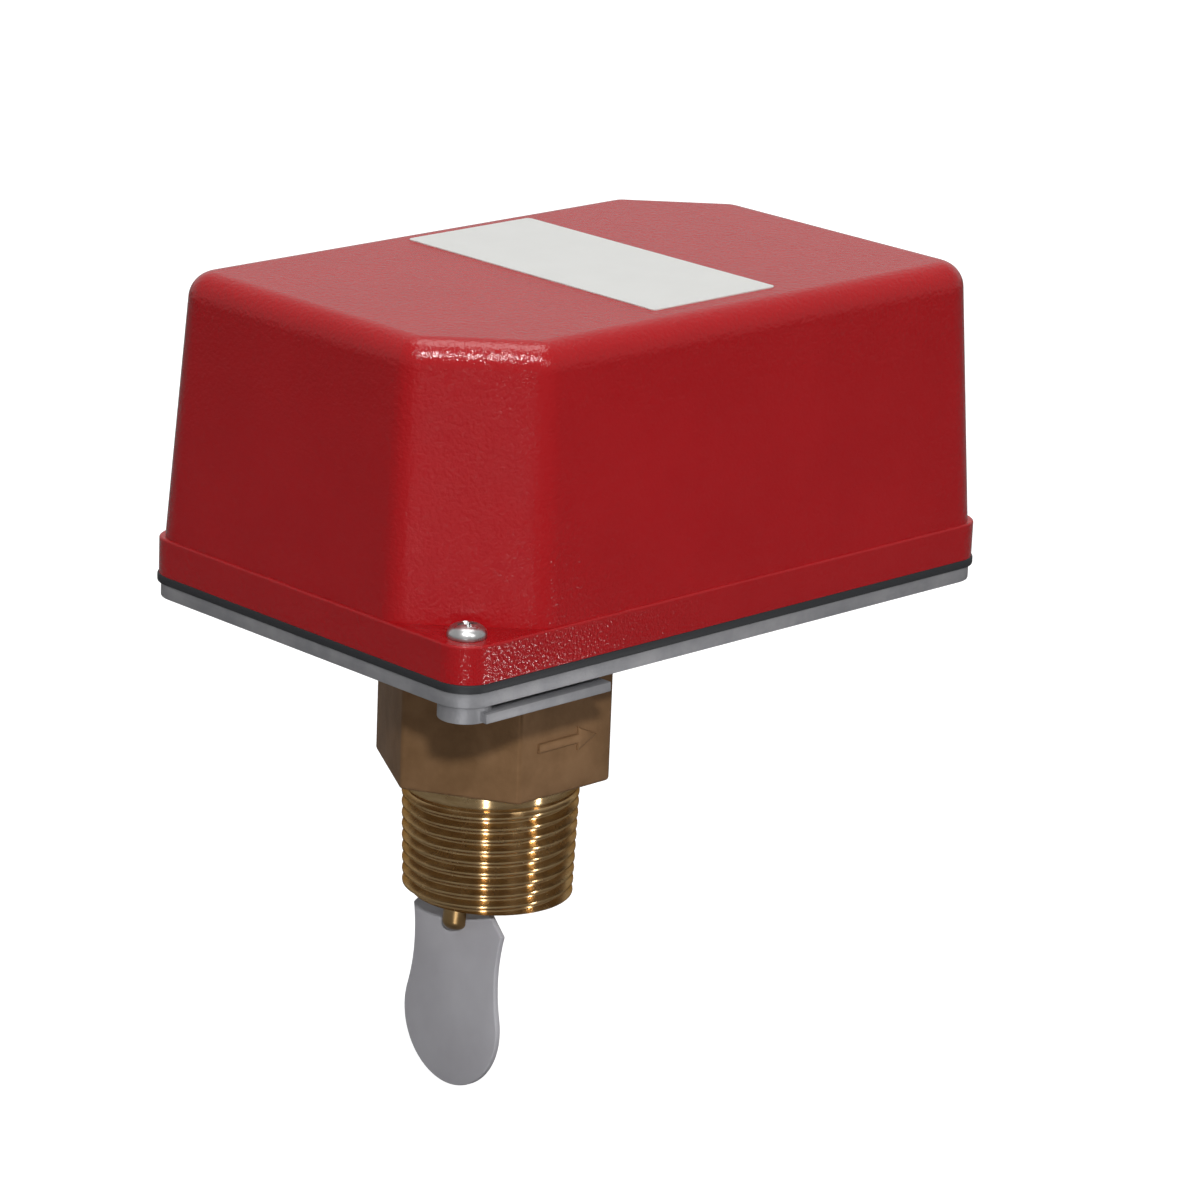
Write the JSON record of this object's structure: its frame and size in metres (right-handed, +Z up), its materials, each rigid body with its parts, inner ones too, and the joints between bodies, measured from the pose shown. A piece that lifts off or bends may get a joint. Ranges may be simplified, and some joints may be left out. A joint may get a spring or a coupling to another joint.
{
  "type": "paddle flow switch",
  "caption": "Screw-in flow switch: a small hanging paddle on a pivoting stem works two snap switches and a delay unit under a lift-off cover.",
  "frame": {"origin": "on the axis of the pipe thread, at the hexagon's lower shoulder, where the thread begins", "axes": "+Z up out of the pipe fitting, away from the paddle; +X the direction of flow along the housing's long side; +Y to the left of the flow"},
  "size_m": [0.1344, 0.0876, 0.1553],
  "materials": {
    "base": "cast, satin",
    "cover_gasket": "matt",
    "cover": "semi-gloss paint with fine orange peel",
    "screws": "bright zinc plate",
    "label": "pale satin film",
    "bushing": "dull turned brass",
    "rubber": "matt",
    "plated_steel": "zinc plate",
    "stainless": "bright",
    "brass": "turned",
    "paddle": "moulded, matt",
    "switch_case": "moulded phenolic",
    "button": "moulded",
    "card": "pressed board",
    "delay_case": "moulded",
    "dial": "moulded",
    "plunger": "ground",
    "earth_screw": "green"
  },
  "bodies": {
    "housing": {"base_plate": "base", "cover_gasket": "cover_gasket", "pipe_bushing": "bushing", "bushing_gasket": "rubber", "stem_seal": "rubber", "pivot_bracket": "plated_steel", "bracket_screws": "screws", "pivot_pin": "stainless", "pin_clip": "stainless", "return_spring": "stainless", "left_switch": "switch_case", "right_switch": "switch_case", "insulation_card": "card", "switch_bracket": "plated_steel", "switch_bracket_screws": "screws", "switch_screws": "screws", "switch_terminals": "brass", "terminal_screws": "screws", "delay_housing": "delay_case", "delay_screws": "screws", "earth_screw": "earth_screw"},
    "flow_arm": {"pivot_block": "brass", "stem": "brass", "paddle": "paddle", "paddle_screw": "brass", "trip_lever": "plated_steel", "lever_screws": "screws"},
    "cover": {"cover": "cover", "cover_screws": "screws", "label_plate": "label"},
    "left_button": {"left_switch_button": "button"},
    "right_button": {"right_switch_button": "button"},
    "delay_rod": {"delay_plunger": "plunger"},
    "delay_knob": {"delay_dial": "dial"}
  },
  "joints": [
    {"name": "paddle_swing", "type": "hinge", "parent": "housing", "child": "flow_arm", "pos_m": [0, 0, 0.04], "axis": [0, -1, 0], "range_deg": [0, 15], "stiffness_Nm_per_rad": 0.01, "springref_deg": -17.19, "deforming": ["return_spring", "stem_seal"]},
    {"name": "cover_lift", "type": "slide", "parent": "housing", "child": "cover", "axis": [0, 0, 1], "range_m": [0, 0.075]},
    {"name": "left_button_slide", "type": "slide", "parent": "housing", "child": "left_button", "axis": [-1, 0, 0], "range_m": [0, 0.00319]},
    {"name": "right_button_slide", "type": "slide", "parent": "housing", "child": "right_button", "axis": [-1, 0, 0], "range_m": [0, 0.00319]},
    {"name": "delay_rod_slide", "type": "slide", "parent": "housing", "child": "delay_rod", "axis": [-1, 0, 0], "range_m": [0, 0.00688]},
    {"name": "delay_dial_turn", "type": "hinge", "parent": "housing", "child": "delay_knob", "pos_m": [-0.031, 0, 0.082], "axis": [0, 0, 1], "range_deg": [0, 300]}
  ],
  "couplings": [
    {"joint": "left_button_slide", "follows": "paddle_swing", "m_per_rad": 0.01215},
    {"joint": "right_button_slide", "follows": "paddle_swing", "m_per_rad": 0.01215},
    {"joint": "delay_rod_slide", "follows": "paddle_swing", "m_per_rad": 0.02624}
  ]
}
